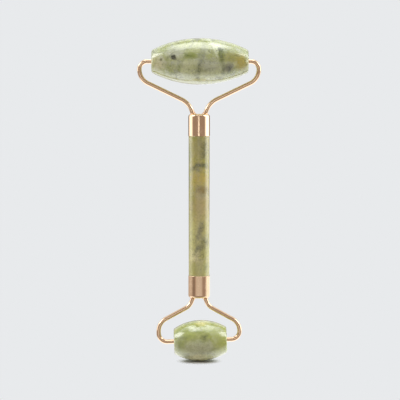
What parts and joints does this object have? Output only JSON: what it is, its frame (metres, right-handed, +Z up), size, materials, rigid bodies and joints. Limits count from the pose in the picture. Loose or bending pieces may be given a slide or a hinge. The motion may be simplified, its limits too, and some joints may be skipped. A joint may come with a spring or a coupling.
{
  "type": "face roller",
  "caption": "Double-ended face roller: stone grip, a metal ferrule and bent wire fork at each end, and a large and a small barrel-shaped stone roller that spin on the forks.",
  "frame": {"origin": "on the surface that the small roller stands on, on the grip's axis", "axes": "+Z up the grip's axis towards the large roller, X along the rollers' axles, Y across the flat forks"},
  "size_m": [0.0556, 0.0206, 0.145],
  "materials": {
    "grip_stone": "polished, clouded olive jade",
    "roller_stone": "polished, pale green jade with grey clouds and dark spots",
    "rose_gold": "polished rose-gold plate",
    "braze": "satin braze, plated over",
    "epoxy": "cured epoxy",
    "nylon": "moulded nylon"
  },
  "bodies": {
    "handle": {"grip": "grip_stone", "upper_ferrule": "rose_gold", "lower_ferrule": "rose_gold", "large_fork": "rose_gold", "small_fork": "rose_gold", "upper_braze": "braze", "lower_braze": "braze", "upper_epoxy": "epoxy", "lower_epoxy": "epoxy"},
    "large_roller": {"large_roller": "roller_stone", "large_bush_left": "nylon", "large_bush_right": "nylon"},
    "small_roller": {"small_roller": "roller_stone", "small_bush_left": "nylon", "small_bush_right": "nylon"}
  },
  "joints": [
    {"name": "large_roller_spin", "type": "hinge", "parent": "handle", "child": "large_roller", "pos_m": [0.0004, 0, 0.13464], "axis": [1, 0, 0], "continuous": true},
    {"name": "small_roller_spin", "type": "hinge", "parent": "handle", "child": "small_roller", "pos_m": [0.0006, 0, 0.00916], "axis": [0.9993, 0, 0.0384], "continuous": true}
  ]
}
